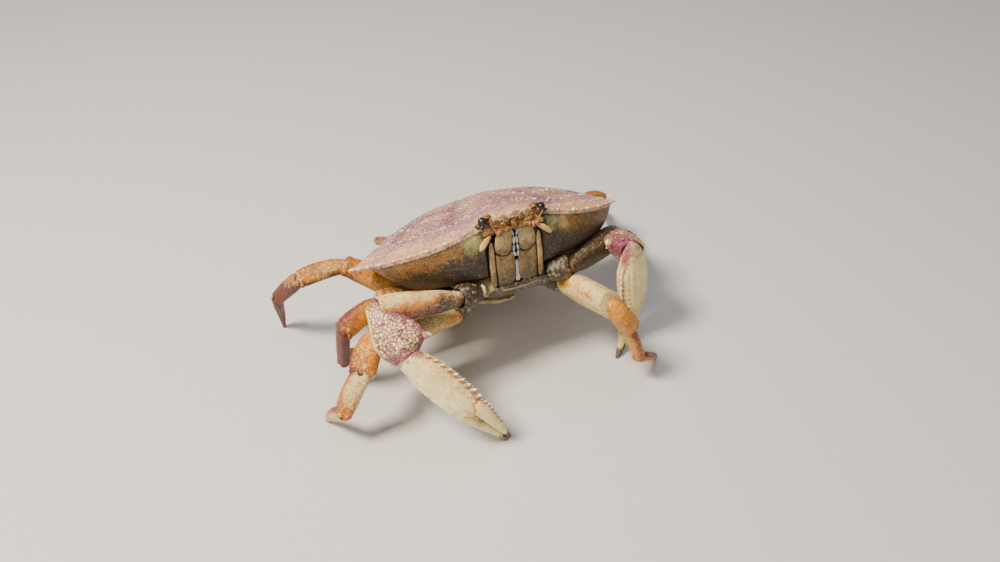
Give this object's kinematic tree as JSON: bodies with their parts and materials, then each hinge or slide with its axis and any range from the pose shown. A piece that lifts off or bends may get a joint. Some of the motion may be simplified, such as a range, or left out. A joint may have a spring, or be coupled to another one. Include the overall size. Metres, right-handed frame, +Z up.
{
  "type": "dungeness crab model",
  "caption": "Life-size still model of a Dungeness crab, reared up on its walking legs with both claws set down in front.",
  "frame": {"origin": "on the floor, under the middle of the crab's outer box", "axes": "+Z up, -Y the way the crab faces, +X its left side"},
  "size_m": [0.2408, 0.1942, 0.1026],
  "materials": {
    "shell": "semi-matt, slightly damp",
    "underside": "semi-matt",
    "mouthparts": "semi-matt",
    "eyes": "glossy",
    "feelers": "semi-matt",
    "claws": "semi-matt, slightly damp",
    "legs": "semi-matt, slightly damp"
  },
  "bodies": {
    "root": {"carapace": "shell", "sternum": "underside", "abdomen": "underside", "maxilliped_left": "mouthparts", "maxilliped_right": "mouthparts", "eye_left": "eyes", "eye_right": "eyes", "antenna_left": "feelers", "antenna_right": "feelers", "claw_hip_left": "underside", "claw_merus_left": "claws", "claw_carpus_left": "claws", "claw_palm_left": "claws", "claw_finger_left": "claws", "leg1_hip_left": "underside", "leg1_merus_left": "legs", "leg1_carpus_left": "legs", "leg1_propodus_left": "legs", "leg1_dactyl_left": "legs", "leg2_hip_left": "underside", "leg2_merus_left": "legs", "leg2_carpus_left": "legs", "leg2_propodus_left": "legs", "leg2_dactyl_left": "legs", "leg3_hip_left": "underside", "leg3_merus_left": "legs", "leg3_carpus_left": "legs", "leg3_propodus_left": "legs", "leg3_dactyl_left": "legs", "leg4_hip_left": "underside", "leg4_merus_left": "legs", "leg4_carpus_left": "legs", "leg4_propodus_left": "legs", "leg4_dactyl_left": "legs", "claw_hip_right": "underside", "claw_merus_right": "claws", "claw_carpus_right": "claws", "claw_palm_right": "claws", "claw_finger_right": "claws", "leg1_hip_right": "underside", "leg1_merus_right": "legs", "leg1_carpus_right": "legs", "leg1_propodus_right": "legs", "leg1_dactyl_right": "legs", "leg2_hip_right": "underside", "leg2_merus_right": "legs", "leg2_carpus_right": "legs", "leg2_propodus_right": "legs", "leg2_dactyl_right": "legs", "leg3_hip_right": "underside", "leg3_merus_right": "legs", "leg3_carpus_right": "legs", "leg3_propodus_right": "legs", "leg3_dactyl_right": "legs", "leg4_hip_right": "underside", "leg4_merus_right": "legs", "leg4_carpus_right": "legs", "leg4_propodus_right": "legs", "leg4_dactyl_right": "legs"}
  },
  "joints": []
}
